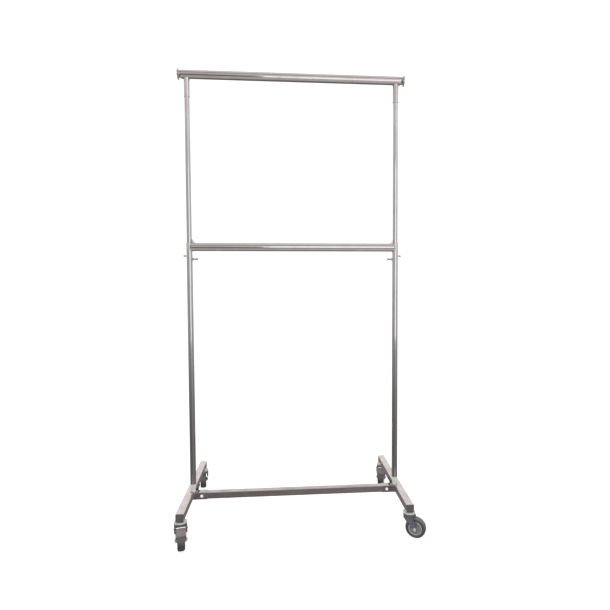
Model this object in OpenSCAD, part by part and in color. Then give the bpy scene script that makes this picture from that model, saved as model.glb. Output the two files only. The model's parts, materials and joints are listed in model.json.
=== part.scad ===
// Rolling double-rail garment rack, knock-down base on four swivel casters.
// Millimetres, +Z up, floor at z = 0, origin at the middle of the footprint.

/* [Overall] */
// Spacing between the two upright axes
post_gap = 914; // [700:2:1400]
// Height of the middle rail axis above the floor
mid_z = 1230; // [1000:1:1300]
// Height of the top rail axis above the floor, as shown
top_z = 1969; // [1860:1:2100]
// Length of each leg from front cap to back cap
leg_len = 586; // [460:2:800]
// How far the crossbar stands in front of the middle of the legs
bar_forward = 77; // [0:1:90]

/* [Base] */
// Side of the square leg tube
leg_sq = 31.8; // [30:0.1:36]
// Wall of the square tubes
sq_wall = 1.5; // [1.2:0.1:1.6]
// Height of the leg top above the floor
leg_top = 141; // [140:0.5:146]
// Length of the square sleeve on the inner side of each leg
sleeve_len = 61; // [56:1:90]
// Distance from upright axis to crossbar bolt
bolt_in = 39; // [36:0.5:44]
// Height of the round socket that holds an upright
socket_h = 36; // [32:1:60]

/* [Round tubes] */
// Outer diameter of the lower uprights
lower_d = 25.4; // [25.2:0.1:26]
// Outer diameter of the upper uprights
upper_d = 22.2; // [22:0.1:22.4]
// Wall of the upper uprights
upper_wall = 1.5; // [1:0.1:2]
// Radial play between upper and lower uprights
slide_gap = 0.1; // [0.05:0.01:0.1]
// Outer diameter of both hanging rails
rail_d = 36; // [33:0.5:40]
// Wall of the hanging rails
rail_wall = 1.5; // [1:0.1:2.5]
// Length of upper upright still inside the lower one, as shown
overlap = 180; // [120:5:300]

/* [Top rail] */
// Overhang of the top rail end past the upright axis
overhang = 38; // [34:1:80]
// Diameter of the end flange
flange_d = 45; // [42:1:60]
// Length of the socket under the top rail
top_socket_len = 78; // [50:1:110]

/* [Locks] */
// Height of the inner thumb screws below the middle rail axis
screw_drop = 53; // [44:1:80]
// Height of the thumb screws below the outer plungers
screw_step = 14; // [0:1:18]
// Length of the lever arm behind each upright socket
lever_len = 50; // [35:1:60]

/* [Casters] */
// Wheel diameter
wheel_d = 85; // [82:1:86]
// Tyre width
tyre_w = 29; // [24:1:30]
// Trail of the wheel axle behind the swivel axis
trail = 28; // [27:0.5:29]
// Diameter of the swivel ring
ring_d = 52; // [50:0.5:54]
// Distance of the caster stem from the end of the leg
stem_inset = 19; // [18:0.5:26]
// Rest direction of the front left caster
turn_fl = -76; // [-180:1:180]
// Rest direction of the front right caster
turn_fr = -27; // [-180:1:180]
// Rest direction of the rear left caster
turn_rl = 100; // [-180:1:180]
// Rest direction of the rear right caster
turn_rr = -109; // [-180:1:180]
// Width of the brake pedal on two of the casters
pedal_w = 40; // [38:0.5:41]
// Gap between the raised brake pedal and the tyre
pedal_gap = 3.5; // [3.5:0.5:5]

/* [Hidden] */

$fn = 48;
cut = 1;

// Square tube and its sleeve
half_gap = post_gap / 2;
bar_y = -bar_forward;
leg_x = half_gap + leg_sq / 2;
leg_mid_z = leg_top - leg_sq / 2;
leg_bottom = leg_top - leg_sq;
corner = 1.6;
cap_plate = 2.5;
cap_plug = 6;
cap_wall = 2;
stem_y = leg_len / 2 - stem_inset;
bar_play = 0.1;
bar_sq = leg_sq - 2 * sq_wall - 2 * bar_play;
bar_end_gap = 2;
bolt_x = half_gap - bolt_in;
bolt_r = 3.9;
bolt_play = 0.2;
nut_t = 6.4;

// Round tubes
lower_r = lower_d / 2;
upper_r = upper_d / 2;
lower_bore = upper_r + slide_gap;
socket_play = 0.15;
socket_top = leg_top + socket_h;
collar_r = lower_r + 1;
collar_play = 0.35;
rail_r = rail_d / 2;
rail_seam = 0.05;
upper_end = top_z - rail_r - 5;
upper_start = mid_z - overlap;
top_socket_low = top_z - rail_r - top_socket_len;
top_screw_z = top_socket_low + 8;
top_screw_r = 2.5;
flange_neck = 17;

// Locks: pin tips stay clear of the tube that they press on
tip_gap = 0.4;
thumb_z = mid_z - screw_drop;
thumb_r = 3.6;
plunger_z = thumb_z + screw_step;
plunger_r = 2.5;
pin_play = 0.1;
lever_z = leg_top + 11;
lever_arm_in = 17.5;
lever_arm_r = 4.2;
lever_shank_r = 3;

// Casters
axle_z = wheel_d / 2;
axle_r = 4;
axle_play = 0.08;
ring_r = ring_d / 2;
ring_low = leg_bottom - 10;
king_r = 5;
king_play = 0.08;
king_nut_t = 4.8;
plate_t = 2.5;
crown_top = ring_low - 0.6;
crown_low = crown_top - 10;
crown_half = 20;
fork_jog_z = crown_low - 20;
hub_half = tyre_w / 2 + 3.7;
tyre_in = wheel_d / 2 - 14.5;
fork_in = hub_half + 0.3;
fork_out = ring_r;
pedal_t = 1.8;
pedal_in = wheel_d / 2 + pedal_gap;
pedal_out = pedal_in + pedal_t;
pedal_half = pedal_w / 2;
rivet_x = 14;
rivet_z = crown_low - 6.6;
rivet_r = 2.5;
rivet_play = 0.08;

// ---------- helpers ----------

// Square bar with cut corners, centred, along local Z.
module square_bar(side, length, cut) {
  h = side / 2;
  linear_extrude(length, center = true)
    polygon([[-h + cut, -h], [h - cut, -h], [h, -h + cut], [h, h - cut],
      [h - cut, h], [-h + cut, h], [-h, h - cut], [-h, -h + cut]]);
}

module square_tube(side, length, wall) {
  difference() {
    square_bar(side, length, corner);
    cube([side - 2 * wall, side - 2 * wall, length + 2 * cut], center = true);
  }
}

// Round bar along X from x0 to x1.
module bar_x(r, x0, x1) {
  translate([x0, 0, 0]) rotate([0, 90, 0]) cylinder(r = r, h = x1 - x0);
}

// Round bar along Y from y0 to y1.
module bar_y_dir(r, y0, y1) {
  translate([0, y0, 0]) rotate([-90, 0, 0]) cylinder(r = r, h = y1 - y0);
}

// Places a part drawn with local +X inboard at an upright axis (side -1 left, 1 right).
module at_post(side, z) {
  translate([side * half_gap, bar_y, z]) rotate([0, 0, side > 0 ? 180 : 0]) children();
}

// Places a part drawn with local +X as trail direction at a caster stem.
module at_caster(side, fore, turn) {
  translate([side * leg_x, fore * stem_y, 0]) rotate([0, 0, turn]) children();
}

// ---------- base ----------

module leg(side) {
  color("silver")
    translate([side * leg_x, 0, leg_mid_z])
      difference() {
        rotate([90, 0, 0]) square_tube(leg_sq, leg_len - 2 * cap_plate, sq_wall);
        for (fore = [-1, 1])
          translate([0, fore * stem_y, -leg_sq / 2 - cut])
            cylinder(r = king_r + 0.2, h = sq_wall + 2 * cut);
      }
}

module leg_cap(side, fore) {
  plug = leg_sq - 2 * sq_wall - 0.2;
  hollow = plug - 2 * cap_wall;
  color("dimgray")
    translate([side * leg_x, fore * (leg_len / 2 - cap_plate), leg_mid_z])
      rotate([-90 * fore, 0, 0]) {
        translate([0, 0, cap_plate / 2]) square_bar(leg_sq, cap_plate, corner);
        translate([0, 0, -cap_plug])
          difference() {
            translate([-plug / 2, -plug / 2, 0]) cube([plug, plug, cap_plug + cut]);
            translate([-hollow / 2, -hollow / 2, -cut]) cube([hollow, hollow, cap_plug + cut]);
          }
      }
}

module bar_sleeve(side) {
  color("gainsboro")
    translate([side * (half_gap - sleeve_len / 2), bar_y, leg_mid_z])
      difference() {
        rotate([0, 90, 0]) square_tube(leg_sq, sleeve_len, sq_wall);
        translate([side * (sleeve_len / 2 - bolt_in), 0, 0])
          bar_y_dir(bolt_r + bolt_play, -leg_sq, leg_sq);
      }
}

module crossbar() {
  color("silver")
    translate([0, bar_y, leg_mid_z])
      difference() {
        rotate([0, 90, 0]) square_tube(bar_sq, post_gap - 2 * bar_end_gap, sq_wall);
        for (side = [-1, 1])
          translate([side * bolt_x, 0, 0]) bar_y_dir(bolt_r + bolt_play, -leg_sq, leg_sq);
      }
}

module bar_bolts() {
  head = [[0, 0], [6, 0], [6, -2], [4.6, -3.8], [2.4, -4.6], [0, -4.6]];
  past_nut = 2.6;
  color("white")
    for (side = [-1, 1])
      translate([side * bolt_x, bar_y, leg_mid_z]) {
        bar_y_dir(bolt_r, -leg_sq / 2 - cut, leg_sq / 2 + nut_t + past_nut);
        translate([0, -leg_sq / 2, 0]) rotate([-90, 0, 0]) rotate_extrude() polygon(head);
      }
}

module bar_nuts() {
  color("gray")
    for (side = [-1, 1])
      translate([side * bolt_x, bar_y + leg_sq / 2, leg_mid_z])
        difference() {
          rotate([-90, 30, 0]) cylinder(r = 7.5, h = nut_t, $fn = 6);
          bar_y_dir(bolt_r + 0.05, -cut, nut_t + cut);
        }
}

module upright_socket(side) {
  color("whitesmoke")
    at_post(side, leg_top)
      difference() {
        cylinder(r = lower_r, h = socket_h);
        translate([0, 0, -cut]) cylinder(r = upper_r + socket_play, h = socket_h + 2 * cut);
        translate([0, 0, lever_z - leg_top]) bar_x(lever_shank_r + pin_play, 5, 20);
      }
}

module lever_screw(side) {
  collar_r = 6.4;
  tip_r = 2.8;
  tip_len = 6;
  color("darkslategray")
    at_post(side, lever_z) {
      bar_x(lever_shank_r, upper_r + tip_gap, lever_arm_in);
      bar_x(collar_r, lower_r + 0.5, lever_arm_in + 4.6);
      translate([lever_arm_in, 0, 0])
        scale([1, -side, 1]) {
          bar_y_dir(lever_arm_r, 0, lever_len - tip_len);
          translate([0, lever_len - tip_len, 0])
            rotate([-90, 0, 0]) cylinder(r1 = lever_arm_r, r2 = tip_r, h = tip_len);
        }
    }
}

// ---------- uprights and middle rail ----------

module lower_upright(side) {
  foot_in = upper_r - 1.3;
  top = mid_z - 2;
  profile = [[foot_in, leg_top + 1], [upper_r, leg_top + 1], [upper_r, socket_top],
    [lower_r, socket_top], [lower_r, top], [lower_bore, top],
    [lower_bore, socket_top + 8], [foot_in, socket_top + 4]];
  color("lightgray")
    difference() {
      at_post(side, 0) rotate_extrude() polygon(profile);
      at_post(side, thumb_z) bar_x(thumb_r + pin_play, 5, 20);
      at_post(side, plunger_z) bar_x(plunger_r + pin_play, -20, -5);
    }
}

module rail_collar(side) {
  web = 15;
  web_t = 12;
  bore = upper_r + collar_play;
  groove_r = collar_r - 1;
  low = mid_z - rail_r;
  high = mid_z + rail_r;
  profile = [[lower_r, low], [collar_r, low], [collar_r, mid_z - 2.5],
    [groove_r, mid_z - 1.5], [groove_r, mid_z + 1.5], [collar_r, mid_z + 2.5],
    [collar_r, high - 2], [groove_r, high], [bore, high], [bore, mid_z - 2], [lower_r, mid_z - 2]];
  color("gainsboro")
    difference() {
      union() {
        at_post(side, 0) rotate_extrude() polygon(profile);
        at_post(side, high - 6)
          difference() {
            translate([upper_r, -web_t / 2, 0]) cube([web + 4, web_t, 6 + web]);
            translate([upper_r + web + 4, 0, 6 + web]) bar_y_dir(web, -web_t, web_t);
          }
      }
      at_post(side, 0) cylinder(r = bore, h = high + 2 * web);
      translate([0, bar_y, mid_z]) bar_x(rail_r + rail_seam, -half_gap + 8, half_gap - 8);
    }
}

module middle_rail() {
  color("silver")
    difference() {
      translate([0, bar_y, mid_z]) bar_x(rail_r, -half_gap + 8, half_gap - 8);
      translate([0, bar_y, mid_z]) bar_x(rail_r - rail_wall, -half_gap, half_gap);
      for (side = [-1, 1])
        translate([side * half_gap, bar_y, mid_z - rail_d])
          cylinder(r = collar_r + rail_seam, h = 2 * rail_d);
    }
}

// ---------- locks ----------

module screw_boss(side) {
  boss_r = 5.6;
  boss_out = 4;
  color("darkgray")
    at_post(side, thumb_z)
      difference() {
        bar_x(boss_r, lower_r - 1, lower_r + boss_out);
        translate([0, 0, -10]) cylinder(r = lower_r, h = 20);
        bar_x(thumb_r + pin_play, 0, 30);
      }
}

module thumb_screw(side) {
  grip_r = 5;
  grip_in = lower_r + 16;
  grip_out = grip_in + 7.5;
  flutes = 8;
  flute_r = 0.9;
  color("gray")
    at_post(side, thumb_z) {
      bar_x(thumb_r, upper_r + tip_gap, grip_in + cut);
      difference() {
        bar_x(grip_r, grip_in, grip_out);
        for (k = [0:flutes - 1])
          rotate([k * 360 / flutes, 0, 0])
            translate([0, 0, grip_r + 0.4]) bar_x(flute_r, grip_in - cut, grip_out + cut, $fn = 16);
      }
    }
}

module plunger_bush(side) {
  bush_r = 4;
  bush_out = 3.4;
  color("darkgray")
    at_post(side, plunger_z)
      difference() {
        bar_x(bush_r, -lower_r - bush_out, -lower_r + 1);
        translate([0, 0, -10]) cylinder(r = lower_r, h = 20);
        bar_x(plunger_r + pin_play, -30, 0);
      }
}

module plunger(side) {
  knob_r = 4.4;
  knob_in = -lower_r - 4;
  knob_out = knob_in - 7.5;
  nose = 1.5;
  color("gray")
    at_post(side, plunger_z) {
      bar_x(plunger_r, knob_in - 2, -upper_r - tip_gap);
      bar_x(knob_r, knob_out, knob_in);
      translate([knob_out - nose, 0, 0])
        rotate([0, 90, 0]) cylinder(r1 = knob_r - nose, r2 = knob_r, h = nose);
    }
}

// ---------- upper frame ----------

module upper_upright(side) {
  length = upper_end - upper_start;
  color("lightgray")
    at_post(side, upper_start)
      difference() {
        cylinder(r = upper_r, h = length);
        translate([0, 0, -cut]) cylinder(r = upper_r - upper_wall, h = length + 2 * cut);
      }
}

module top_rail() {
  end = half_gap + overhang - flange_neck;
  color("silver")
    translate([0, bar_y, top_z])
      difference() {
        bar_x(rail_r, -end, end);
        bar_x(rail_r - rail_wall, -end - cut, end + cut);
      }
}

module top_socket(side) {
  color("gainsboro")
    difference() {
      at_post(side, top_socket_low) cylinder(r = lower_r, h = top_socket_len + 6);
      at_post(side, top_socket_low - cut) cylinder(r = upper_r + socket_play, h = top_socket_len + 9);
      translate([0, bar_y, top_z]) bar_x(rail_r + 0.02, -half_gap - 50, half_gap + 50);
      at_post(side, top_screw_z) bar_y_dir(top_screw_r + pin_play, -20, 20);
    }
}

module top_socket_screws() {
  key_r = 1.2;
  head_out = 0.8;
  color("dimgray")
    for (side = [-1, 1])
      translate([side * half_gap, bar_y, top_screw_z])
        difference() {
          bar_y_dir(top_screw_r, -lower_r - head_out, -upper_r);
          bar_y_dir(key_r, -lower_r - 2, -lower_r + 0.4, $fn = 6);
        }
}

module end_flange(side) {
  x0 = half_gap + overhang - flange_neck;
  x1 = half_gap + overhang;
  disc_t = 6;
  plug_len = 14;
  wall = 3;
  plug_r = rail_r - rail_wall;
  neck_r = rail_r - 4.5;
  flange_r = flange_d / 2;
  profile = [[plug_r - wall, x0 - plug_len], [plug_r - 0.6, x0 - plug_len], [plug_r, x0 - plug_len + 2],
    [plug_r, x0], [rail_r - 0.4, x0], [rail_r - 1.2, x0 + 3], [neck_r, x1 - disc_t - 0.5],
    [neck_r, x1 - disc_t], [flange_r - 1, x1 - disc_t], [flange_r, x1 - disc_t + 1],
    [flange_r, x1 - 1.5], [flange_r - 1.5, x1], [0, x1], [0, x1 - disc_t + 2],
    [plug_r - 2 * wall, x1 - disc_t + 2]];
  color("whitesmoke")
    translate([0, bar_y, top_z])
      rotate([0, side * 90, 0]) rotate_extrude() polygon(profile);
}

// ---------- casters ----------

module caster_ring(side, fore) {
  neck_r = 16;
  nut_low = crown_low - 0.4 - king_nut_t;
  profile = [[king_r, ring_low], [ring_r - 3, ring_low], [ring_r, ring_low + 2.2],
    [ring_r, ring_low + 5], [ring_r - 2.5, ring_low + 7.6], [neck_r, ring_low + 8.4],
    [neck_r, leg_bottom], [king_r, leg_bottom]];
  color("whitesmoke")
    at_caster(side, fore, 0) {
      rotate_extrude() polygon(profile);
      translate([0, 0, nut_low + cut]) cylinder(r = king_r, h = leg_bottom + 12 - nut_low);
      translate([0, 0, nut_low]) cylinder(r = 8, h = king_nut_t);
      translate([0, 0, leg_bottom + sq_wall]) cylinder(r = 9, h = 7, $fn = 6);
    }
}

// One flat piece of pressed plate, outline in X and Z, from y0 to y1.
module plate(outline, y0, y1) {
  translate([0, y1, 0]) rotate([90, 0, 0]) linear_extrude(y1 - y0) polygon(outline);
}

module fork_side() {
  top = crown_low + plate_t;
  jog = fork_jog_z;
  jog_x0 = -4;
  jog_x1 = trail + 0.5;
  boss_r = 10;
  plate([[-crown_half, top], [crown_half, top], [jog_x1, jog], [jog_x0, jog]], fork_out - plate_t, fork_out);
  plate([[jog_x0, jog], [jog_x1, jog], [jog_x1, jog + plate_t], [jog_x0, jog + plate_t]], fork_in, fork_out);
  plate([[jog_x0, jog + plate_t], [jog_x1, jog + plate_t], [trail + boss_r - 0.5, axle_z + 2],
    [trail - boss_r + 1.5, axle_z - 3]], fork_in, fork_in + plate_t);
  translate([trail, 0, axle_z]) bar_y_dir(boss_r, fork_in, fork_in + plate_t);
}

module caster_fork(side, fore, turn, braked) {
  bore = king_r + king_play;
  race = [[bore, crown_low + plate_t], [ring_r - 1.2, crown_low + plate_t],
    [ring_r - 1.2, crown_top - 1.5], [ring_r - 3, crown_top], [bore, crown_top]];
  color("slategray")
    at_caster(side, fore, turn)
      difference() {
        union() {
          rotate_extrude() polygon(race);
          translate([-crown_half, -fork_out, crown_low]) cube([2 * crown_half, 2 * fork_out, plate_t]);
          fork_side();
          mirror([0, 1, 0]) fork_side();
        }
        translate([0, 0, crown_low - cut]) cylinder(r = bore, h = 20);
        translate([trail, 0, axle_z]) bar_y_dir(axle_r, -40, 40);
        if (braked)
          translate([rivet_x, 0, rivet_z]) bar_y_dir(rivet_r + rivet_play, -40, 40);
      }
}

// Points on a circle round the axle, as [x, z], from angle a0 to a1 above horizontal.
function round_axle(r, a0, a1, steps = 12) =
  [for (k = [0:steps]) let (a = a0 + (a1 - a0) * k / steps) [trail + r * cos(a), axle_z + r * sin(a)]];

module caster_brake(side, fore, turn) {
  low = 40;
  high = 88;
  toe = 2.4;
  tab_out = pedal_half - 0.2;
  tab_in = tab_out - pedal_t;
  flange_in = pedal_in - 3;
  head_r = 4;
  head_in = fork_out + 0.3;
  head_out = head_in + 1.2;
  skin = concat(round_axle(pedal_out + toe, low - 1, low, 1), round_axle(pedal_out, low + 2, high),
    round_axle(pedal_in, high, low - 1));
  lug = concat([[rivet_x - 4, rivet_z], [rivet_x - 2, rivet_z - 4.5]],
    round_axle(flange_in, high - 20, low + 1), round_axle(pedal_in + pedal_t / 2, low + 1, high),
    [[rivet_x - 1, rivet_z + 4.5], [rivet_x - 3.5, rivet_z + 3]]);
  color("slategray")
    at_caster(side, fore, turn) {
      plate(skin, -pedal_half, pedal_half);
      for (flip = [0, 1])
        mirror([0, flip, 0]) {
          plate(lug, tab_in, tab_out);
          translate([rivet_x, 0, rivet_z]) {
            bar_y_dir(rivet_r, tab_in - 0.8, head_out - 0.4);
            bar_y_dir(head_r, head_in, head_out);
          }
        }
    }
}

module caster_axle(side, fore, turn) {
  out = fork_in + plate_t;
  nut_r = 7;
  nut_h = 4.3;
  color("white")
    at_caster(side, fore, turn)
      translate([trail, 0, axle_z]) {
        bar_y_dir(axle_r, -out - cut, out + nut_h + 1.2);
        translate([0, -out - nut_h, 0]) rotate([-90, 0, 0]) cylinder(r = nut_r, h = nut_h, $fn = 6);
        translate([0, out, 0]) rotate([-90, 0, 0]) cylinder(r = nut_r, h = nut_h, $fn = 6);
      }
}

module caster_hub(side, fore, turn) {
  bore = axle_r + axle_play;
  boss_r = 9.5;
  web_r = 22;
  web = 7;
  rim = tyre_w / 2 - 2;
  profile = [[bore, -hub_half], [boss_r - 1, -hub_half], [boss_r, -hub_half + 1], [boss_r + 1, -web - 2],
    [web_r, -web], [tyre_in - 3.5, -rim + 0.5], [tyre_in - 2.5, -rim], [tyre_in, -rim],
    [tyre_in, rim], [tyre_in - 2.5, rim], [tyre_in - 3.5, rim - 0.5], [web_r, web],
    [boss_r + 1, web + 2], [boss_r, hub_half - 1], [boss_r - 1, hub_half], [bore, hub_half]];
  color("gray")
    at_caster(side, fore, turn)
      translate([trail, 0, axle_z]) rotate([-90, 0, 0]) rotate_extrude() polygon(profile);
}

module caster_tyre(side, fore, turn) {
  r = wheel_d / 2;
  h = tyre_w / 2;
  profile = [[tyre_in, -h + 1.5], [tyre_in + 2, -h + 0.4], [r - 6, -h], [r - 2.8, -h + 1.4],
    [r - 0.9, -h + 4], [r, -h + 8], [r, h - 8], [r - 0.9, h - 4], [r - 2.8, h - 1.4],
    [r - 6, h], [tyre_in + 2, h - 0.4], [tyre_in, h - 1.5]];
  color("dimgray")
    at_caster(side, fore, turn)
      translate([trail, 0, axle_z]) rotate([-90, 0, 0]) rotate_extrude() polygon(profile);
}

// ---------- nodes ----------

leg(-1);  // left_leg
leg(1);  // right_leg
bar_sleeve(-1);  // left_bar_sleeve
bar_sleeve(1);  // right_bar_sleeve
crossbar();
bar_bolts();
bar_nuts();
leg_cap(-1, -1);  // front_left_leg_cap
leg_cap(1, -1);  // front_right_leg_cap
leg_cap(-1, 1);  // rear_left_leg_cap
leg_cap(1, 1);  // rear_right_leg_cap
upright_socket(-1);  // left_upright_socket
upright_socket(1);  // right_upright_socket
lever_screw(-1);  // left_lever_screw
lever_screw(1);  // right_lever_screw
lower_upright(-1);  // left_lower_upright
lower_upright(1);  // right_lower_upright
rail_collar(-1);  // left_rail_collar
rail_collar(1);  // right_rail_collar
middle_rail();
screw_boss(-1);  // left_screw_boss
screw_boss(1);  // right_screw_boss
thumb_screw(-1);  // left_thumb_screw
thumb_screw(1);  // right_thumb_screw
plunger_bush(-1);  // left_plunger_bush
plunger_bush(1);  // right_plunger_bush
plunger(-1);  // left_plunger
plunger(1);  // right_plunger
upper_upright(-1);  // left_upper_upright
upper_upright(1);  // right_upper_upright
top_rail();
top_socket(-1);  // left_top_socket
top_socket(1);  // right_top_socket
top_socket_screws();
end_flange(-1);  // left_end_flange
end_flange(1);  // right_end_flange
caster_ring(-1, -1);  // front_left_ring
caster_ring(1, -1);  // front_right_ring
caster_ring(-1, 1);  // rear_left_ring
caster_ring(1, 1);  // rear_right_ring
caster_fork(-1, -1, turn_fl, true);  // front_left_fork
caster_fork(1, -1, turn_fr, false);  // front_right_fork
caster_fork(-1, 1, turn_rl, false);  // rear_left_fork
caster_fork(1, 1, turn_rr, true);  // rear_right_fork
caster_brake(-1, -1, turn_fl);  // front_left_brake
caster_brake(1, 1, turn_rr);  // rear_right_brake
caster_axle(-1, -1, turn_fl);  // front_left_axle
caster_axle(1, -1, turn_fr);  // front_right_axle
caster_axle(-1, 1, turn_rl);  // rear_left_axle
caster_axle(1, 1, turn_rr);  // rear_right_axle
caster_hub(-1, -1, turn_fl);  // front_left_hub
caster_hub(1, -1, turn_fr);  // front_right_hub
caster_hub(-1, 1, turn_rl);  // rear_left_hub
caster_hub(1, 1, turn_rr);  // rear_right_hub
caster_tyre(-1, -1, turn_fl);  // front_left_tyre
caster_tyre(1, -1, turn_fr);  // front_right_tyre
caster_tyre(-1, 1, turn_rl);  // rear_left_tyre
caster_tyre(1, 1, turn_rr);  // rear_right_tyre
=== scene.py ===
"""The look of the rolling double-rail garment rack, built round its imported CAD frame.

Everything is in metres, in the CAD frame: floor at z = 0, +X to the right, -Y towards the camera.
The CAD nodes carry the shape. This script adds what is too small for them (weld beads, screw threads,
washers, hub ribs, tyre ridges, cap seams) and gives every surface its material.
"""

import json
import math

import bpy
from mathutils import Matrix, Vector


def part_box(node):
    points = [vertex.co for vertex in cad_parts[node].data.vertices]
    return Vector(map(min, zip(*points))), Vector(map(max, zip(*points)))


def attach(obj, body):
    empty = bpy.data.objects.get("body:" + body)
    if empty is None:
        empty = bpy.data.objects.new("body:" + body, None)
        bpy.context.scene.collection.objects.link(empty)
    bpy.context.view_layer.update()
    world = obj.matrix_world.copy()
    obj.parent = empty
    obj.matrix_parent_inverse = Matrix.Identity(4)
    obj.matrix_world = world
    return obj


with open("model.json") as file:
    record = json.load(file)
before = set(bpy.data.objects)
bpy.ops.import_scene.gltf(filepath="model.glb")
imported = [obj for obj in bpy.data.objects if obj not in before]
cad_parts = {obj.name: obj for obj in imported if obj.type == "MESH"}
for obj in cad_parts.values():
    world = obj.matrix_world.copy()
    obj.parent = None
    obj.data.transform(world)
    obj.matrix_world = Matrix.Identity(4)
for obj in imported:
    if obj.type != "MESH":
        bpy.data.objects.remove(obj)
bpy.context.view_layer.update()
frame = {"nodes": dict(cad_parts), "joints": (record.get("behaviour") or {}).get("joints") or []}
nodes = frame["nodes"]
joints = {joint["name"]: joint for joint in frame["joints"]}
scene = bpy.context.scene

SIDES = {"left": -1, "right": 1}
CORNERS = [f"{end}_{side}" for end in ("front", "rear") for side in SIDES]
TURN = 2 * math.pi
MM = 0.001


# ---------- places, read from the frame ----------

def centre(node):
    low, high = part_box(node)
    return (low + high) / 2


def radius(node, axis):
    """Half the width of a round node, measured along one axis (0, 1 or 2)."""
    low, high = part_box(node)
    return (high - low)[axis] / 2


# ---------- mesh helpers ----------

def new_piece(name, verts, faces, body, material, smooth=True):
    """Makes a mesh piece that rides on a CAD body and takes the material it is given."""
    mesh = bpy.data.meshes.new(name)
    mesh.from_pydata(verts, [], faces)
    mesh.update()
    for polygon in mesh.polygons:
        polygon.use_smooth = smooth
    piece = bpy.data.objects.new(name, mesh)
    scene.collection.objects.link(piece)
    mesh.materials.append(material)
    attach(piece, body)


def grid_faces(rings, count, closed_rings=False):
    """Quads that join rings of count points each; closed_rings joins the last ring to the first."""
    faces = []
    for i in range(rings if closed_rings else rings - 1):
        a = i * count
        b = (i + 1) % rings * count
        for j in range(count):
            k = (j + 1) % count
            faces.append((a + j, a + k, b + k, b + j))
    return faces


def swept(points, thickness, closed=True, sides=8):
    """A rope of round section along points; thickness(i) is its radius at point i."""
    verts = []
    total = len(points)
    for i, point in enumerate(points):
        after = points[(i + 1) % total] if closed or i < total - 1 else point
        before = points[i - 1] if closed or i > 0 else point
        along = (after - before).normalized()
        aside = along.orthogonal().normalized()
        up = along.cross(aside)
        for k in range(sides):
            angle = TURN * k / sides
            verts.append(point + (aside * math.cos(angle) + up * math.sin(angle)) * thickness(i))
    return verts, grid_faces(total, sides, closed)


def circle(count):
    """Angles evenly round a full turn."""
    return [TURN * k / count for k in range(count)]


def ring(place, r, height=0.0, count=96):
    """Points of a circle of radius r about the local Z of a matrix."""
    return [place @ Vector((r * math.cos(a), r * math.sin(a), height)) for a in circle(count)]


def joined(parts):
    """Puts several (verts, faces) parts into one."""
    verts, faces = [], []
    for part_verts, part_faces in parts:
        faces += [tuple(i + len(verts) for i in face) for face in part_faces]
        verts += part_verts
    return verts, faces


def lathe(profile, place, sides=48):
    """Turns (radius, height) points about local Z, then puts them in place with a matrix."""
    verts = [point for r, z in profile for point in ring(place, r, z, sides)]
    return verts, grid_faces(len(profile), sides)


# ---------- materials ----------

class Nodes:
    """A short way to write a node tree: each call adds a node and sets its inputs."""

    def __init__(self, name):
        self.material = bpy.data.materials.new(name)
        self.material.use_nodes = True
        self.tree = self.material.node_tree
        self.shader = self.tree.nodes["Principled BSDF"]
        self.place = self.add("ShaderNodeTexCoord").outputs["Object"]

    def add(self, kind, **inputs):
        node = self.tree.nodes.new(kind)
        for name, value in inputs.items():
            self.set(node, name, value)
        return node

    def set(self, node, name, value):
        """Sets or links one input, found by its name or, written i0 or i1, by its number."""
        socket = node.inputs[int(name[1:])] if name[0] == "i" and name[1:].isdigit() else node.inputs[name]
        if isinstance(value, bpy.types.NodeSocket):
            self.tree.links.new(value, socket)
        else:
            socket.default_value = value

    def scaled(self, scale):
        return self.add("ShaderNodeMapping", Vector=self.place, Scale=scale).outputs["Vector"]

    def noise(self, scale, detail=4.0, stretch=(1, 1, 1), rough=0.55):
        vector = self.scaled(stretch)
        node = self.add("ShaderNodeTexNoise", Vector=vector, Scale=scale, Detail=detail, Roughness=rough)
        return node.outputs["Fac"]

    def remap(self, value, low, high, to_low, to_high):
        node = self.add("ShaderNodeMapRange", Value=value)
        for name, number in zip(("From Min", "From Max", "To Min", "To Max"), (low, high, to_low, to_high)):
            node.inputs[name].default_value = number
        return node.outputs["Result"]

    def math(self, kind, a, b):
        node = self.add("ShaderNodeMath", i0=a, i1=b)
        node.operation = kind
        return node.outputs["Value"]

    def mix(self, share, a, b):
        node = self.add("ShaderNodeMix")
        node.data_type = "RGBA"
        self.set(node, "Factor", share)
        for name, value in (("A", a), ("B", b)):
            socket = next(s for s in node.inputs if s.name == name and s.type == "RGBA")
            if isinstance(value, bpy.types.NodeSocket):
                self.tree.links.new(value, socket)
            else:
                socket.default_value = (*value, 1)
        return next(s for s in node.outputs if s.type == "RGBA")

    def bump(self, height, strength, distance, under=None):
        node = self.add("ShaderNodeBump", Height=height, Strength=strength, Distance=distance)
        if under is not None:
            self.set(node, "Normal", under)
        return node.outputs["Normal"]

    def finish(self, color, roughness, normal, metallic=0.0):
        self.set(self.shader, "Base Color", color)
        self.set(self.shader, "Roughness", roughness)
        self.set(self.shader, "Normal", normal)
        self.shader.inputs["Metallic"].default_value = metallic
        return self.material


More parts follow.
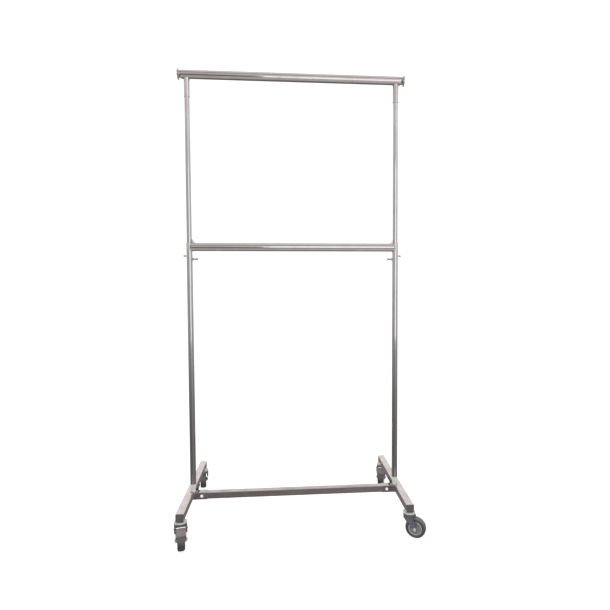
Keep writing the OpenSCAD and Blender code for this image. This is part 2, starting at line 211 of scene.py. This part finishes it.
def plated(name, tint, dull_tint, rough, grain, smudge=0.12, scratches=0.25):
    """Polished plating: fine drawn lines along the tube, finger smudges, pits and hairline scratches.

    grain is the stretch of the drawn lines, small along the tube's own axis."""
    n = Nodes(name)
    lines = n.noise(900, 3, grain)
    smear = n.noise(14, 5, (1, 1, 1), 0.65)
    pits = n.remap(n.noise(2600, 2), 0.66, 0.78, 0, 1)
    cross = tuple(1.0 if g < 1 else 0.12 for g in grain)
    hairs = n.remap(n.noise(1500, 2, cross), 0.62, 0.72, 0, 1)
    roughness = n.remap(smear, 0.42, 0.72, rough, rough + smudge)
    roughness = n.math("ADD", roughness, n.math("MULTIPLY", hairs, 0.08))
    color = n.mix(n.remap(smear, 0.35, 0.75, 0, 1), tint, dull_tint)
    color = n.mix(n.math("MULTIPLY", pits, 0.5), color, tuple(0.35 * c for c in tint))
    normal = n.bump(lines, 0.10, 0.00004)
    normal = n.bump(hairs, scratches, 0.00003, normal)
    return n.finish(color, roughness, normal, 1.0)


def cast_finish(name, tint, spot_tint, rough, pitch=320, strength=0.35, metallic=1.0):
    """Pressed or zinc-plated metal: mottled plating, shallow dents and duller patches."""
    n = Nodes(name)
    mottle = n.noise(pitch, 4)
    patch = n.noise(40, 3)
    grime = n.remap(n.noise(95, 6, (1, 1, 1), 0.7), 0.55, 0.75, 0, 1)
    color = n.mix(n.remap(mottle, 0.3, 0.7, 0, 1), tint, spot_tint)
    color = n.mix(n.math("MULTIPLY", grime, 0.45), color, tuple(0.4 * c for c in spot_tint))
    roughness = n.remap(patch, 0.3, 0.7, rough, rough + 0.18)
    roughness = n.math("ADD", roughness, n.math("MULTIPLY", grime, 0.15))
    normal = n.bump(mottle, strength, 0.0001)
    return n.finish(color, roughness, normal, metallic)


def moulded(name, tint, dust_tint, rough, dust=0.35, grain=1400, top_dust_and_light=0.0):
    """Moulded plastic or rubber: fine spark-eroded grain, dust in patches, scuffs, and lighter faces that
    look up.

    The last argument sets how much the faces that look up are lightened towards the dust tint: partly settled
    dust, partly a painted top light as if lit from above."""
    n = Nodes(name)
    fine = n.noise(grain, 3)
    patches = n.remap(n.noise(60, 6, (1, 1, 1), 0.7), 0.45, 0.8, 0, 1)
    scuffs = n.remap(n.noise(700, 2, (1, 0.15, 1)), 0.63, 0.72, 0, 1)
    facing = n.add("ShaderNodeSeparateXYZ", Vector=n.add("ShaderNodeNewGeometry").outputs["Normal"])
    # Faces that look up are lightened towards the dust tint: dust together with a painted top light.
    top_dust_and_light_share = n.remap(facing.outputs["Z"], -0.2, 0.9, 0, top_dust_and_light)
    color = n.mix(n.math("MULTIPLY", patches, dust), tint, dust_tint)
    color = n.mix(top_dust_and_light_share, color, dust_tint)
    color = n.mix(n.math("MULTIPLY", scuffs, 0.35), color, dust_tint)
    roughness = n.remap(fine, 0.3, 0.7, rough - 0.06, rough + 0.08)
    roughness = n.math("ADD", roughness, n.math("MULTIPLY", patches, 0.12))
    normal = n.bump(fine, 0.3, 0.00012)
    normal = n.bump(scuffs, 0.2, 0.00008, normal)
    return n.finish(color, roughness, normal)


CHROME = (0.77, 0.745, 0.735)
CHROME_DULL = (0.68, 0.65, 0.64)
# The legs, sleeves and crossbar share the uprights' plating. The legs' tint is painted lighter (painted light
# on their tops) and the sleeves' and crossbar's tint darker (painted shade).
LIT_LEG_CHROME = (0.90, 0.86, 0.86)
LIT_LEG_CHROME_DULL = (0.82, 0.78, 0.78)
SHADED_BAR_CHROME = (0.70, 0.64, 0.65)
SHADED_BAR_CHROME_DULL = (0.60, 0.54, 0.55)
LINES_X = (0.02, 1, 1)
LINES_Y = (1, 0.02, 1)
LINES_Z = (1, 1, 0.02)

MATERIALS = {
    "upright_chrome": plated("upright_chrome", CHROME, CHROME_DULL, 0.08, LINES_Z),
    "rail_chrome": plated("rail_chrome", CHROME, CHROME_DULL, 0.07, LINES_X, scratches=0.4),
    # Painted light: a lighter copy of the chrome for the legs, and a painted-shade darker copy for the
    # sleeves and crossbar.
    "leg_chrome_painted_light": plated("leg_chrome_painted_light", LIT_LEG_CHROME, LIT_LEG_CHROME_DULL, 0.18, LINES_Y, smudge=0.16),
    "bar_chrome_painted_shade": plated("bar_chrome_painted_shade", SHADED_BAR_CHROME, SHADED_BAR_CHROME_DULL, 0.18, LINES_X, smudge=0.16),
    "socket": cast_finish("socket", (0.72, 0.715, 0.70), (0.60, 0.595, 0.58), 0.40, 420, 0.3, 0.3),
    "collar": cast_finish("collar", (0.78, 0.76, 0.75), (0.66, 0.64, 0.63), 0.22, 420, 0.2, 0.8),
    "zinc": cast_finish("zinc", (0.80, 0.80, 0.79), (0.66, 0.66, 0.64), 0.26, metallic=0.6),
    "bolt": cast_finish("bolt", (0.95, 0.95, 0.95), (0.86, 0.86, 0.85), 0.30, metallic=0.15),
    "weld": cast_finish("weld", (0.62, 0.60, 0.58), (0.45, 0.43, 0.42), 0.30, 700, 0.6),
    "caster_steel": cast_finish("caster_steel", (0.27, 0.30, 0.31), (0.17, 0.19, 0.20), 0.30, 260, 0.6, 0.75),
    "pedal_steel": cast_finish("pedal_steel", (0.27, 0.24, 0.23), (0.18, 0.16, 0.155), 0.48, 260, 0.6, 0.2),
    "screw_steel": cast_finish("screw_steel", (0.56, 0.55, 0.53), (0.42, 0.41, 0.40), 0.30, 520,
                               metallic=0.6),
    "lever": moulded("lever", (0.020, 0.018, 0.017), (0.09, 0.085, 0.08), 0.38, 0.3),
    "cap": moulded("cap", (0.070, 0.070, 0.066), (0.15, 0.145, 0.135), 0.50),
    "hub": moulded("hub", (0.20, 0.22, 0.24), (0.34, 0.34, 0.33), 0.42, 0.4),
    # The last argument gives the tyre's upward faces a strong lightening: dust mixed with a painted top light
    # on the tread.
    "tyre": moulded("tyre", (0.024, 0.026, 0.027), (0.22, 0.21, 0.20), 0.62, 0.22, 900, 0.70),
}

NODE_MATERIALS = {
    "upright_chrome": ["{side}_lower_upright", "{side}_upper_upright", "{side}_top_socket"],
    "rail_chrome": ["top_rail", "middle_rail", "{side}_end_flange"],
    "leg_chrome_painted_light": ["{side}_leg"],
    "bar_chrome_painted_shade": ["{side}_bar_sleeve", "crossbar"],
    "socket": ["{side}_upright_socket"],
    "collar": ["{side}_rail_collar"],
    "bolt": ["bar_bolts", "bar_nuts", "{side}_plunger_bush"],
    "zinc": ["{corner}_ring", "{corner}_axle"],
    "caster_steel": ["{corner}_fork"],
    "pedal_steel": ["front_left_brake", "rear_right_brake"],
    "screw_steel": ["top_socket_screws", "{side}_screw_boss", "{side}_thumb_screw", "{side}_plunger"],
    "lever": ["{side}_lever_screw"],
    "cap": ["{corner}_leg_cap"],
    "hub": ["{corner}_hub"],
    "tyre": ["{corner}_tyre"],
}


def dress_nodes():
    """Gives each CAD node its material."""
    for material, patterns in NODE_MATERIALS.items():
        names = {p.format(side=s, corner=c) for p in patterns for s in SIDES for c in CORNERS}
        for name in names:
            mesh = nodes[name].data
            mesh.materials.clear()
            mesh.materials.append(MATERIALS[material])


# ---------- welds ----------

def ripple(index):
    """Radius of a weld bead at one point: a row of overlapping scales."""
    return (1.25 + 0.35 * abs(math.sin(index * 0.9)) + 0.12 * math.sin(index * 2.3)) * MM


def weld(name, strands, closed=True, body="base_frame", size=1.0):
    """One welded joint, made of one or more beads; size scales their thickness."""
    verts, faces = joined(swept(strand, lambda i: size * ripple(i), closed) for strand in strands)
    new_piece(name, verts, faces, body, MATERIALS["weld"])


def socket_welds():
    """The bead round the foot of each upright socket."""
    for side in SIDES:
        low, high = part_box(f"{side}_upright_socket")
        x, y, _ = (low + high) / 2
        r = (high - low).x / 2 + 0.4 * MM
        foot = Matrix.Translation((x, y, low.z + 0.5 * MM))
        weld(f"{side}_socket_weld", [ring(foot, r)])


def sleeve_welds():
    """The bead round the square sleeve, where it meets the leg."""
    for side, sign in SIDES.items():
        low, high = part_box(f"{side}_bar_sleeve")
        x = (high.x if sign > 0 else low.x) - sign * 0.4 * MM
        corners = [(low.y, low.z), (high.y, low.z), (high.y, high.z), (low.y, high.z)]
        steps = 22
        path = []
        for k in range(4):
            (y0, z0), (y1, z1) = corners[k], corners[(k + 1) % 4]
            for i in range(steps):
                t = (i + 0.5) / steps
                path.append(Vector((x, y0 + (y1 - y0) * t, z0 + (z1 - z0) * t)))
        weld(f"{side}_sleeve_weld", [path])


def saddle_welds():
    """The bead where each top socket meets the underside of the top rail."""
    rail_z = centre("top_rail").z
    rail_r = radius("top_rail", 1)
    for side in SIDES:
        x, y, _ = centre(f"{side}_top_socket")
        r = radius(f"{side}_top_socket", 0) + 0.3 * MM
        path = []
        for a in circle(96):
            across = r * math.sin(a)
            drop = math.sqrt((rail_r + 0.2 * MM) ** 2 - across ** 2)
            path.append(Vector((x + r * math.cos(a), y + across, rail_z - drop)))
        weld(f"{side}_saddle_weld", [path], body="upper_frame")


def collar_welds():
    """Beads over and under the middle rail, where it wraps the collar."""
    rail = centre("middle_rail")
    rail_r = radius("middle_rail", 1) + 0.1 * MM
    reach = 50
    steps = 40
    for side, sign in SIDES.items():
        post = centre(f"{side}_upper_upright")
        collar_r = radius(f"{side}_lower_upright", 0) + 1.1 * MM
        strands = []
        for over in (1, -1):
            strand = []
            for k in range(steps + 1):
                a = math.radians(reach * (2 * k / steps - 1))
                across = collar_r * math.sin(a)
                lift = math.sqrt(rail_r ** 2 - across ** 2)
                strand.append(Vector((post.x - sign * collar_r * math.cos(a), post.y + across,
                                      rail.z + over * lift)))
            strands.append(strand)
        weld(f"{side}_collar_weld", strands, closed=False)


def boss_welds():
    """The small beads round the thumb screw bosses and plunger bushes."""
    for side in SIDES:
        post = centre(f"{side}_lower_upright")
        tube_r = radius(f"{side}_lower_upright", 0)
        for node in (f"{side}_screw_boss", f"{side}_plunger_bush"):
            low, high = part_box(node)
            boss = (low + high) / 2
            out = 1 if boss.x > post.x else -1
            r = (high - low).z / 2 + 0.2 * MM
            path = []
            for a in circle(48):
                across = r * math.sin(a)
                path.append(Vector((post.x + out * math.sqrt(tube_r ** 2 - across ** 2), post.y + across,
                                    boss.z + r * math.cos(a))))
            weld(f"{node}_weld", [path], size=0.45)


# ---------- screws, washers and seams ----------

def thread(name, start, direction, length, shank_r, pitch, body, material):
    """A screw thread: a fine ridge wound round a shank."""
    along = Vector(direction).normalized()
    aside = along.orthogonal().normalized()
    up = along.cross(aside)
    ridge_r = 0.3 * MM
    path_r = shank_r + 0.05 * MM
    steps = 20
    fade = 8
    count = int(length / pitch * steps)
    points = []
    for i in range(count + 1):
        a = TURN * i / steps
        outward = aside * math.cos(a) + up * math.sin(a)
        points.append(start + along * (length * i / count) + outward * path_r)

    def thickness(i):
        return ridge_r * min(1.0, (min(i, count - i) + 1) / fade)

    verts, faces = swept(points, thickness, False, 6)
    new_piece(name, verts, faces, body, MATERIALS[material])


def washer(name, at, direction, inner, outer, thick, body, material):
    """A flat washer with bevelled edges."""
    turn = Vector(direction).to_track_quat("Z", "Y").to_matrix().to_4x4()
    place = Matrix.Translation(at) @ turn
    edge = 0.25 * thick
    profile = [(inner, 0), (inner, thick - edge), (inner + edge, thick), (outer - edge, thick),
               (outer, thick - edge), (outer, edge), (outer - edge, 0)]
    verts, faces = lathe(profile, place)
    count = len(profile)
    sides = len(verts) // count
    last = (count - 1) * sides
    faces += [(last + j, last + (j + 1) % sides, (j + 1) % sides, j) for j in range(sides)]
    new_piece(name, verts, faces, body, MATERIALS[material])


def bar_fasteners():
    """Washers and threads of the two bolts through the sleeves."""
    low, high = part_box("bar_bolts")
    _, nut_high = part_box("bar_nuts")
    sleeve_low, sleeve_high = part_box("left_bar_sleeve")
    z = (low.z + high.z) / 2
    head_r = (high - low).z / 2
    shank_r = 3.9 * MM
    pitch = 1.0 * MM
    for side, sign in SIDES.items():
        x = sign * (high.x - head_r)
        front = Vector((x, sleeve_low.y, z))
        inner, outer, thick = head_r - 0.4 * MM, head_r + 0.9 * MM, 0.9 * MM
        washer(f"{side}_bolt_washer", front, (0, -1, 0), inner, outer, thick,
               "base_frame", "bolt")
        back = Vector((x, sleeve_high.y, z))
        inner, outer, thick = head_r + 1.1 * MM, head_r + 3.4 * MM, 1.2 * MM
        washer(f"{side}_nut_washer", back, (0, 1, 0), inner, outer, thick,
               "base_frame", "zinc")
        tip = Vector((x, nut_high.y, z))
        thread(f"{side}_bolt_thread", tip, (0, 1, 0), high.y - nut_high.y, shank_r, pitch,
               "base_frame", "zinc")


def thumb_threads():
    """The thread of each thumb screw, between its boss and its grip."""
    grip = 7.5 * MM
    shank_r = 3.6 * MM
    pitch = 1.25 * MM
    for side, sign in SIDES.items():
        boss_low, boss_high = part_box(f"{side}_screw_boss")
        screw_low, screw_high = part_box(f"{side}_thumb_screw")
        at = centre(f"{side}_thumb_screw")
        start = boss_low.x if sign > 0 else boss_high.x
        end = screw_low.x + grip if sign > 0 else screw_high.x - grip
        thread(f"{side}_thumb_thread", Vector((start, at.y, at.z)), (end - start, 0, 0), abs(end - start),
               shank_r, pitch, f"{side}_thumb", "screw_steel")


def cap_seams():
    """The dark hairline where each leg cap meets its tube."""
    inset = 0.05 * MM
    cut = 1.6 * MM
    seam_r = 0.28 * MM
    for corner in CORNERS:
        side = corner.split("_")[1]
        leg_low, leg_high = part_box(f"{side}_leg")
        y = leg_low.y if corner.startswith("front") else leg_high.y
        x0, x1 = leg_low.x + inset, leg_high.x - inset
        z0, z1 = leg_low.z + inset, leg_high.z - inset
        loop = [(x0 + cut, z0), (x1 - cut, z0), (x1, z0 + cut), (x1, z1 - cut),
                (x1 - cut, z1), (x0 + cut, z1), (x0, z1 - cut), (x0, z0 + cut)]
        verts, faces = swept([Vector((x, y, z)) for x, z in loop], lambda i: seam_r, True, 6)
        new_piece(f"{corner}_cap_seam", verts, faces, "base_frame", MATERIALS["lever"])


# ---------- wheels ----------

def wheel_place(corner):
    """A matrix whose Z runs along the wheel's axle, with its origin in the wheel's middle."""
    joint = joints[f"{corner}_wheel_roll"]
    turn = Vector(joint["axis"]).to_track_quat("Z", "Y").to_matrix().to_4x4()
    return Matrix.Translation(Vector(joint["pos_m"])) @ turn


def hub_ribs(corner):
    """Tapered ribs that stiffen both faces of the hub, from boss to rim."""
    place = wheel_place(corner)
    hub_r = radius(f"{corner}_hub", 2)
    verts, faces = [], []
    count = 8
    half, crown = 1.1 * MM, 0.5 * MM
    boss_end = (10.0 * MM, 8.2 * MM, 11.2 * MM)
    rim_end = (hub_r - 3.6 * MM, 6.4 * MM, 9.4 * MM)
    for face in (1, -1):
        for k in range(count):
            a = TURN * (k + 0.5) / count
            out = Vector((math.cos(a), math.sin(a), 0))
            across = Vector((-math.sin(a), math.cos(a), 0))
            base = len(verts)
            for r, foot, top in (boss_end, rim_end):
                for shift, height in ((-half, foot), (-half, top - crown), (-crown, top), (crown, top),
                                      (half, top - crown), (half, foot)):
                    verts.append(place @ (out * r + across * shift + Vector((0, 0, face * height))))
            faces += [(base + j, base + j + 1, base + j + 7, base + j + 6) for j in range(5)]
            faces += [tuple(base + j for j in range(6)), tuple(base + 11 - j for j in range(6))]
    new_piece(f"{corner}_hub_ribs", verts, faces, f"{corner}_wheel", MATERIALS["hub"], False)


def wheel_trim(corner):
    """The bright ring round each hub face and the moulded ridges on the tyre's sidewalls."""
    place = wheel_place(corner)
    hub_r = radius(f"{corner}_hub", 2)
    tyre_r = radius(f"{corner}_tyre", 2)
    rim_r, rim_height, rim_thickness = hub_r - 1.4 * MM, 12.5 * MM, 1.3 * MM
    ridge_height, ridge_thickness = 14.25 * MM, 0.45 * MM
    for face, tag in ((1, "outer"), (-1, "inner")):
        verts, faces = swept(ring(place, rim_r, face * rim_height), lambda i: rim_thickness)
        new_piece(f"{corner}_{tag}_rim", verts, faces, f"{corner}_wheel", MATERIALS["zinc"])
        ridges = [ring(place, r, face * ridge_height) for r in (hub_r + 4.5 * MM, tyre_r - 7.5 * MM)]
        verts, faces = joined(swept(ridge, lambda i: ridge_thickness, sides=6) for ridge in ridges)
        new_piece(f"{corner}_{tag}_ridges", verts, faces, f"{corner}_wheel", MATERIALS["tyre"])


dress_nodes()
socket_welds()
sleeve_welds()
saddle_welds()
collar_welds()
boss_welds()
bar_fasteners()
thumb_threads()
cap_seams()
for wheel_corner in CORNERS:
    hub_ribs(wheel_corner)
    wheel_trim(wheel_corner)


# ---------- studio ----------

# What the chrome mirrors: (sine of the height angle, colour), (degrees round from the photographer's
# side, share of the light), and (closeness to the floor behind the rack, share of the light).
ROOM_STRENGTH = 1.4
ROOM_BY_HEIGHT = [(-1.0, (0.40, 0.38, 0.37)), (-0.92, (0.60, 0.57, 0.56)), (-0.66, (0.68, 0.65, 0.64)),
                  (-0.52, (0.46, 0.44, 0.43)), (-0.40, (0.27, 0.25, 0.245)), (-0.30, (0.25, 0.24, 0.235)),
                  (-0.22, (0.34, 0.34, 0.33)), (-0.12, (0.56, 0.555, 0.54)), (-0.04, (0.80, 0.78, 0.765)),
                  (0.12, (0.96, 0.93, 0.91)), (0.24, (0.98, 0.95, 0.93)), (0.32, (1.26, 1.19, 1.18)),
                  (0.44, (1.32, 1.25, 1.24)), (0.54, (0.70, 0.67, 0.66)), (0.62, (0.56, 0.535, 0.525)),
                  (0.88, (0.60, 0.57, 0.56)), (0.96, (0.86, 0.83, 0.82)), (1.0, (0.72, 0.69, 0.68))]
ROOM_BY_SIDE = [(-180, 0.66), (-150, 0.66), (-138, 0.70), (-100, 0.54), (-70, 0.50), (-34, 0.46),
                (-8, 0.50), (2, 0.62), (40, 0.84), (56, 0.74), (76, 0.54), (100, 0.56), (138, 0.74),
                (150, 0.66), (180, 0.66)]
FLOOR_BEHIND = Vector((0, 0.6, -0.8))
FLOOR_SHADE = [(0.0, 1.0), (0.84, 1.0), (0.95, 0.34), (1.0, 0.26)]


def floor():
    """A wide pale floor that curves up into a pale wall all round, so every view has a plain ground."""
    flat = 9.0
    bend = 3.0
    wall_top = 12.0
    steps = 24
    profile = [(0.0, 0.0), (flat, 0.0)]
    for i in range(1, steps + 1):
        angle = math.pi / 2 * i / steps
        profile.append((flat + bend * math.sin(angle), bend * (1 - math.cos(angle))))
    profile.append((flat + bend, wall_top))
    verts, faces = lathe(profile, Matrix.Identity(4), 128)
    mesh = bpy.data.meshes.new("studio_floor")
    mesh.from_pydata(verts, [], faces)
    for polygon in mesh.polygons:
        polygon.use_smooth = True
    piece = bpy.data.objects.new("studio_floor", mesh)
    scene.collection.objects.link(piece)
    n = Nodes("studio_floor")
    paper = n.noise(90, 4)
    color = n.mix(paper, (0.34, 0.34, 0.34), (0.37, 0.37, 0.37))
    n.shader.inputs["Emission Color"].default_value = (1, 1, 1, 1)
    n.shader.inputs["Emission Strength"].default_value = 0.80
    mesh.materials.append(n.finish(color, 0.9, n.bump(paper, 0.02, 0.0002)))
    piece.visible_glossy = False


def ramp(tree, value, steps):
    """A colour ramp over value 0..1; steps are (position, grey or colour)."""
    node = tree.nodes.new("ShaderNodeValToRGB")
    elements = node.color_ramp.elements
    while len(elements) < len(steps):
        elements.new(0.5)
    for element, (position, level) in zip(elements, steps):
        element.position = position
        element.color = (*level, 1) if isinstance(level, tuple) else (level, level, level, 1)
    tree.links.new(value, node.inputs["Fac"])
    return node.outputs["Color"]


def room():
    """The room that the chrome mirrors: a dim floor, darkest in the shade behind the rack, pale walls
    with a bright band high up, and darker walls to the sides."""
    world = bpy.data.worlds.new("studio")
    scene.world = world
    world.use_nodes = True
    tree = world.node_tree
    tree.nodes.clear()

    def math_node(kind, *values):
        node = tree.nodes.new("ShaderNodeMath")
        node.operation = kind
        for socket, value in zip(node.inputs, values):
            if isinstance(value, bpy.types.NodeSocket):
                tree.links.new(value, socket)
            else:
                socket.default_value = value
        return node.outputs[0]

    def multiply(share, first, second):
        node = tree.nodes.new("ShaderNodeMix")
        node.data_type = "RGBA"
        node.blend_type = "MULTIPLY"
        inputs = {socket.name: socket for socket in node.inputs if socket.type == "RGBA"}
        if isinstance(share, bpy.types.NodeSocket):
            tree.links.new(share, node.inputs["Factor"])
        else:
            node.inputs["Factor"].default_value = share
        tree.links.new(first, inputs["A"])
        tree.links.new(second, inputs["B"])
        return next(socket for socket in node.outputs if socket.type == "RGBA")

    coordinate = tree.nodes.new("ShaderNodeTexCoord")
    split = tree.nodes.new("ShaderNodeSeparateXYZ")
    tree.links.new(coordinate.outputs["Generated"], split.inputs[0])
    x, y, z = split.outputs
    height = math_node("MULTIPLY_ADD", z, 0.5, 0.5)
    azimuth = math_node("ARCTAN2", x, math_node("MULTIPLY", y, -1.0))
    around = math_node("MULTIPLY_ADD", azimuth, 1 / TURN, 0.5)
    toward = math_node("MULTIPLY_ADD", y, FLOOR_BEHIND.y, math_node("MULTIPLY", z, FLOOR_BEHIND.z))
    by_height = ramp(tree, height, [((h + 1) / 2, tuple(c / ROOM_STRENGTH for c in color))
                                    for h, color in ROOM_BY_HEIGHT])
    by_side = ramp(tree, around, [(0.5 + degrees / 360, grey) for degrees, grey in ROOM_BY_SIDE])
    steepness = math_node("POWER", math_node("ABSOLUTE", z), 4.0)
    walls = multiply(math_node("SUBTRACT", 1.0, steepness), by_height, by_side)
    shaded = multiply(1.0, walls, ramp(tree, toward, FLOOR_SHADE))
    background = tree.nodes.new("ShaderNodeBackground")
    output = tree.nodes.new("ShaderNodeOutputWorld")
    tree.links.new(shaded, background.inputs["Color"])
    tree.links.new(background.outputs["Background"], output.inputs["Surface"])
    background.inputs["Strength"].default_value = ROOM_STRENGTH


def reflector():
    """A white board beside the photographer. Only the chrome sees it, as a bright streak."""
    low, high = Vector((-0.22, -2.3, 0.55)), Vector((1.75, -2.3, 2.2))
    verts = [(low.x, low.y, low.z), (high.x, low.y, low.z), (high.x, low.y, high.z), (low.x, low.y, high.z)]
    mesh = bpy.data.meshes.new("reflector")
    mesh.from_pydata(verts, [], [(0, 1, 2, 3)])
    board = bpy.data.objects.new("reflector", mesh)
    scene.collection.objects.link(board)
    n = Nodes("reflector")
    n.shader.inputs["Emission Color"].default_value = (1, 0.985, 0.975, 1)
    n.shader.inputs["Emission Strength"].default_value = 1.15
    mesh.materials.append(n.finish(n.mix(n.noise(3), (0.0, 0.0, 0.0), (0.02, 0.02, 0.02)), 1.0,
                                   n.bump(n.noise(30), 0.02, 0.0002)))
    board.visible_camera = False
    board.visible_diffuse = False
    board.visible_shadow = False


def softbox(name, at, look_at, size, power):
    """A rectangular area light that the chrome doesn't mirror."""
    light = bpy.data.lights.new(name, "AREA")
    light.shape = "RECTANGLE"
    light.size, light.size_y = size
    light.energy = power
    lamp = bpy.data.objects.new(name, light)
    scene.collection.objects.link(lamp)
    lamp.location = at
    lamp.rotation_mode = "QUATERNION"
    lamp.rotation_quaternion = (Vector(look_at) - Vector(at)).to_track_quat("-Z", "Y")
    lamp.visible_glossy = False


def camera():
    """Eye height 1.04 m, 2.2 m back, turned a little to the right and tipped slightly down."""
    at = Vector((-0.0531, -2.1766, 1.0442))
    yaw = math.radians(4.61)
    pitch = math.radians(2.575)
    roll = math.radians(0.24)
    forward = Vector((math.sin(yaw) * math.cos(pitch), math.cos(yaw) * math.cos(pitch), -math.sin(pitch)))
    level = Vector((math.cos(yaw), -math.sin(yaw), 0))
    down = forward.cross(level)
    right = level * math.cos(roll) + down * math.sin(roll)
    up = level * math.sin(roll) - down * math.cos(roll)
    data = bpy.data.cameras.new("camera")
    data.sensor_width = 36
    data.lens = 27.66
    data.shift_x = -0.0251
    data.shift_y = 0.0083
    lens = bpy.data.objects.new("camera", data)
    scene.collection.objects.link(lens)
    rotation = Matrix((right, up, -forward)).transposed()
    lens.matrix_world = Matrix.Translation(at) @ rotation.to_4x4()
    scene.camera = lens


floor()
room()
reflector()
softbox("key", (-2.6, -2.4, 4.2), (0, 0, 1.0), (3.0, 2.0), 40)
softbox("fill", (3.0, -1.8, 3.0), (0, 0, 1.0), (2.5, 2.5), 16)
softbox("top", (0, 0.6, 4.8), (0, 0, 0), (4.0, 3.0), 40)
camera()
scene.view_settings.view_transform = "Standard"
